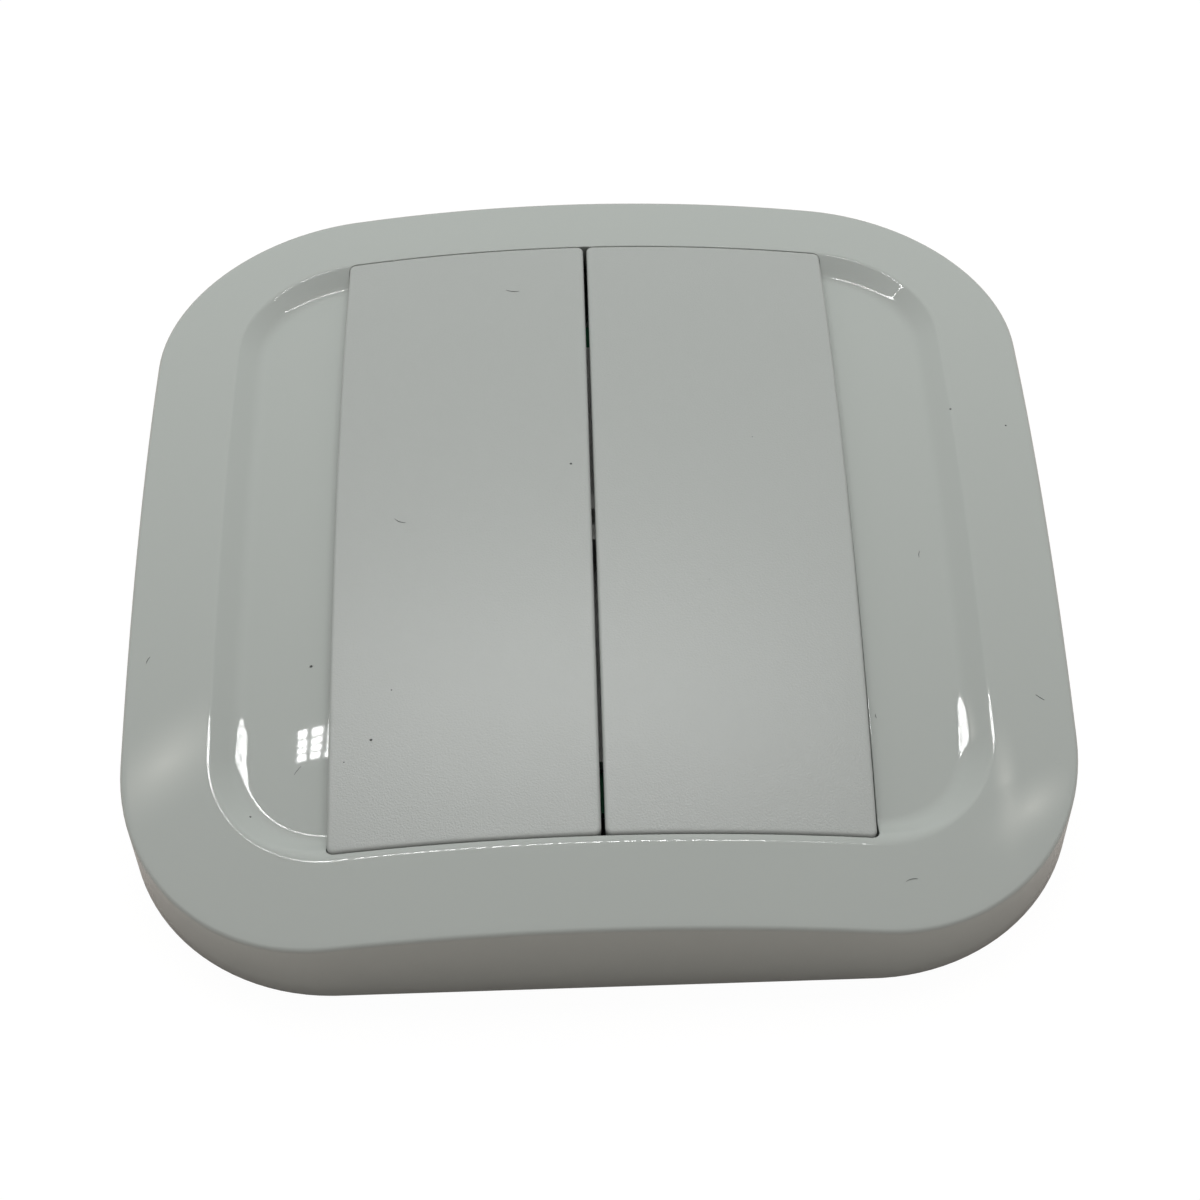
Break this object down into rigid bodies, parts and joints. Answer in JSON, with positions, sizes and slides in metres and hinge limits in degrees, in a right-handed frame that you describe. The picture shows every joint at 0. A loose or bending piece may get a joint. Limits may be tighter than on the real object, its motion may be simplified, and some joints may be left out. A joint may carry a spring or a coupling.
{
  "type": "wireless wall switch",
  "caption": "Square wireless wall switch with a domed front, a shallow finger recess and tall rocking keys side by side, on a slide-off wall bracket.",
  "frame": {"origin": "middle of the wall side, where the bracket's back face lies on the wall", "axes": "+Z out of the wall, +Y up the wall, +X to the right as seen from the room"},
  "size_m": [0.08, 0.08, 0.0155],
  "materials": {
    "gloss_white": "gloss",
    "matt_white": "fine matt texture",
    "frame_white": "satin",
    "silicone": "matt",
    "conductive_rubber": "matt",
    "board_green": "solder mask",
    "gold_plate": "plated",
    "tinned_steel": "satin",
    "ceramic": "ceramic",
    "chip_black": "moulded",
    "capacitor_tan": "ceramic",
    "cell_steel": "brushed",
    "spring_nickel": "plated",
    "screw_zinc": "zinc",
    "housing_white": "satin",
    "bracket_white": "satin"
  },
  "bodies": {
    "wall_mount": {"wall_bracket": "bracket_white"},
    "switch_unit": {"front_cover": "gloss_white", "rocker_frame": "frame_white", "keypad_mat": "silicone", "contact_pills": "conductive_rubber", "circuit_board": "board_green", "contact_pads": "gold_plate", "radio_module_board": "board_green", "radio_shield": "tinned_steel", "chip_antenna": "ceramic", "control_chip": "chip_black", "crystal": "tinned_steel", "chip_capacitors": "capacitor_tan", "coin_cell": "cell_steel", "positive_contact": "spring_nickel", "negative_contact": "spring_nickel", "assembly_screws": "screw_zinc", "rear_housing": "housing_white"},
    "left_key": {"left_rocker": "matt_white"},
    "right_key": {"right_rocker": "matt_white"}
  },
  "joints": [
    {"name": "unit_slide", "type": "slide", "parent": "wall_mount", "child": "switch_unit", "axis": [0, 1, 0], "range_m": [0, 0.003]},
    {"name": "left_rocker_tilt", "type": "hinge", "parent": "switch_unit", "child": "left_key", "pos_m": [0, 0, 0.0108], "axis": [1, 0, 0], "range_deg": [-3, 3], "stiffness_Nm_per_rad": 1.2, "deforming": ["keypad_mat", "contact_pills"]},
    {"name": "right_rocker_tilt", "type": "hinge", "parent": "switch_unit", "child": "right_key", "pos_m": [0, 0, 0.0108], "axis": [1, 0, 0], "range_deg": [-3, 3], "stiffness_Nm_per_rad": 1.2, "deforming": ["keypad_mat", "contact_pills"]}
  ]
}
